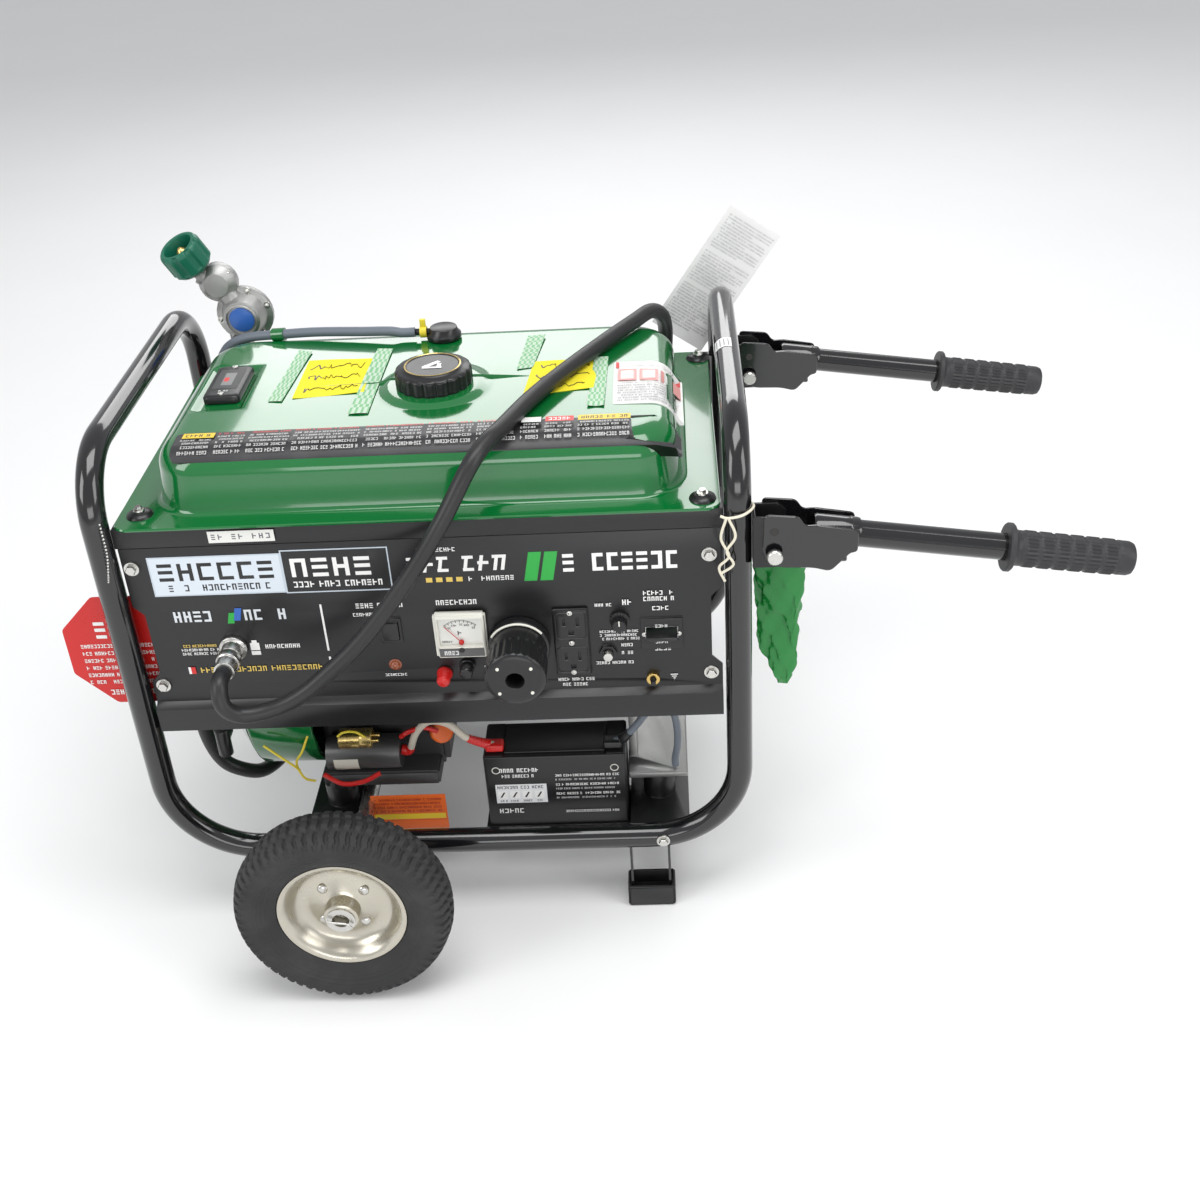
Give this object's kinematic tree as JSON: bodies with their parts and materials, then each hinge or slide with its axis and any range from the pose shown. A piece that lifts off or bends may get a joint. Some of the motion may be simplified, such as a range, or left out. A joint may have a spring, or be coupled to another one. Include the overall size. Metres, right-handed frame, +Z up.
{
  "type": "portable generator",
  "caption": "Open-frame portable generator with green tank, black control panel, gas hose and regulator, two wheels, two feet and fold-down handles.",
  "frame": {"origin": "middle of the overall box at ground level", "axes": "+Z up; -Y towards the control panel; +X towards the handles"},
  "size_m": [1.0182, 0.671, 0.6316],
  "materials": {
    "black_tube": "gloss",
    "black_sheet": "satin",
    "green_paint": "gloss",
    "tyre_rubber": "matte",
    "zinc_steel": "satin",
    "bright_steel": "satin",
    "black_rubber": "matte",
    "grip_rubber": "matte",
    "black_plastic": "satin",
    "green_plastic": "satin",
    "cast_alloy": "satin",
    "red_plastic": "gloss",
    "grey_hose": "satin",
    "meter_case": "gloss",
    "brass": "satin",
    "red_card": "gloss",
    "white_paper": "matte",
    "green_film": "gloss",
    "orange_plastic": "satin",
    "muffler_steel": "matte",
    "starter_steel": "satin",
    "clear_sleeve": "satin"
  },
  "bodies": {
    "chassis": {"air_cleaner": "black_plastic", "alternator": "cast_alloy", "axle": "bright_steel", "battery": "black_plastic", "battery_cable_black": "black_rubber", "battery_cable_red": "clear_sleeve", "control_panel": "black_sheet", "crossmember_left": "black_sheet", "crossmember_right": "black_sheet", "duplex_outlet": "black_plastic", "engine_block": "cast_alloy", "foot_pad_front": "black_rubber", "foot_pad_rear": "black_rubber", "frame_front": "black_tube", "frame_left_arch": "black_tube", "frame_rear": "black_tube", "frame_right_arch": "black_tube", "fuel_gauge": "black_plastic", "fuel_tank": "green_paint", "gas_feed_hose": "black_rubber", "handle_bracket_front": "black_sheet", "handle_bracket_rear": "black_sheet", "lpg_ferrule": "bright_steel", "lpg_hose": "black_rubber", "lpg_inlet": "bright_steel", "muffler": "muffler_steel", "paper_tag": "white_paper", "plastic_bag": "green_film", "recoil_cover": "green_paint", "red_tag": "red_card", "regulator_body": "cast_alloy", "starter_motor": "starter_steel", "tank_channel_front": "black_sheet", "tank_channel_rear": "black_sheet", "vent_hose": "grey_hose", "vent_valve": "black_plastic", "voltmeter": "meter_case"},
    "wheel_front": {"tyre_front": "tyre_rubber", "rim_front": "zinc_steel"},
    "wheel_rear": {"tyre_rear": "tyre_rubber", "rim_rear": "zinc_steel"},
    "handle_front": {"handle_arm_front": "black_tube", "handle_grip_front": "grip_rubber"},
    "handle_rear": {"handle_arm_rear": "black_tube", "handle_grip_rear": "grip_rubber"},
    "cap_carrier": {"fuel_cap_plug": "black_plastic"},
    "cap": {"fuel_cap": "black_plastic"},
    "bottle_nut": {"regulator_nut": "green_plastic"},
    "run_switch": {"engine_switch": "black_plastic"},
    "meter_needle": {"voltmeter_needle": "red_card"},
    "red_post": {"dc_post_red": "red_plastic"},
    "black_post": {"dc_post_black": "black_plastic"},
    "twist_plug": {"locking_plug": "black_plastic"},
    "voltage_knob": {"selector_knob": "black_plastic"},
    "main_lever": {"breaker_lever": "black_plastic"},
    "reset_button": {"breaker_button": "bright_steel"},
    "earth_nut": {"ground_nut": "brass"},
    "pull_handle": {"recoil_handle": "black_plastic"},
    "crank": {"crank_rotor": "bright_steel"},
    "dipstick_cap": {"oil_cap": "orange_plastic"}
  },
  "joints": [
    {"name": "front_wheel_turn", "type": "hinge", "parent": "chassis", "child": "wheel_front", "pos_m": [-0.24537, -0.3105, 0.108], "axis": [0, 1, 0], "continuous": true},
    {"name": "rear_wheel_turn", "type": "hinge", "parent": "chassis", "child": "wheel_rear", "pos_m": [-0.24537, 0.3105, 0.108], "axis": [0, 1, 0], "continuous": true},
    {"name": "front_handle_fold", "type": "hinge", "parent": "chassis", "child": "handle_front", "pos_m": [0.17963, -0.1945, 0.432], "axis": [0, 1, 0], "range_deg": [0, 81]},
    {"name": "rear_handle_fold", "type": "hinge", "parent": "chassis", "child": "handle_rear", "pos_m": [0.17963, 0.1945, 0.432], "axis": [0, 1, 0], "range_deg": [0, 81]},
    {"name": "fuel_cap_lift", "type": "slide", "parent": "chassis", "child": "cap_carrier", "axis": [0, 0, 1], "range_m": [0, 0.06]},
    {"name": "fuel_cap_turn", "type": "hinge", "parent": "cap_carrier", "child": "cap", "pos_m": [-0.13737, -0.0445, 0.536], "axis": [0, 0, 1], "range_deg": [0, 90]},
    {"name": "bottle_nut_turn", "type": "hinge", "parent": "chassis", "child": "bottle_nut", "pos_m": [-0.41398, 0.15941, 0.59327], "axis": [-0.3611, -0.3009, 0.8827], "continuous": true},
    {"name": "run_switch_rock", "type": "hinge", "parent": "chassis", "child": "run_switch", "pos_m": [-0.18337, -0.1945, 0.3524], "axis": [1, 0, 0], "range_deg": [-7, 7]},
    {"name": "meter_needle_swing", "type": "hinge", "parent": "chassis", "child": "meter_needle", "pos_m": [-0.11637, -0.201, 0.3394], "axis": [0, 1, 0], "range_deg": [0, 80], "stiffness_Nm_per_rad": 0.00002},
    {"name": "red_post_unscrew", "type": "hinge", "parent": "chassis", "child": "red_post", "pos_m": [-0.13737, -0.1945, 0.3004], "axis": [0, 1, 0], "range_deg": [-360, 0]},
    {"name": "black_post_unscrew", "type": "hinge", "parent": "chassis", "child": "black_post", "pos_m": [-0.11437, -0.1945, 0.3089], "axis": [0, 1, 0], "range_deg": [-360, 0]},
    {"name": "locking_plug_twist", "type": "hinge", "parent": "chassis", "child": "twist_plug", "pos_m": [-0.06137, -0.1945, 0.3344], "axis": [0, 1, 0], "range_deg": [-20, 0]},
    {"name": "voltage_knob_turn", "type": "hinge", "parent": "chassis", "child": "voltage_knob", "pos_m": [0.03513, -0.1945, 0.3554], "axis": [0, 1, 0], "range_deg": [0, 90]},
    {"name": "main_breaker_throw", "type": "hinge", "parent": "chassis", "child": "main_lever", "pos_m": [0.07463, -0.1945, 0.3389], "axis": [1, 0, 0], "range_deg": [-14, 14]},
    {"name": "breaker_button_push", "type": "slide", "parent": "chassis", "child": "reset_button", "axis": [0, 1, 0], "range_m": [0, 0.004], "stiffness_N_per_m": 400},
    {"name": "ground_nut_turn", "type": "hinge", "parent": "chassis", "child": "earth_nut", "pos_m": [0.06463, -0.1945, 0.2884], "axis": [0, 1, 0], "continuous": true},
    {"name": "recoil_pull", "type": "slide", "parent": "chassis", "child": "pull_handle", "axis": [0, -1, 0], "range_m": [0, 0.5], "stiffness_N_per_m": 8},
    {"name": "crank_turn", "type": "hinge", "parent": "chassis", "child": "crank", "pos_m": [-0.36837, -0.0445, 0.216], "axis": [1, 0, 0], "continuous": true},
    {"name": "oil_cap_turn", "type": "hinge", "parent": "chassis", "child": "dipstick_cap", "pos_m": [-0.16324, -0.12874, 0.18013], "axis": [0.4284, -0.7956, 0.4284], "continuous": true}
  ]
}
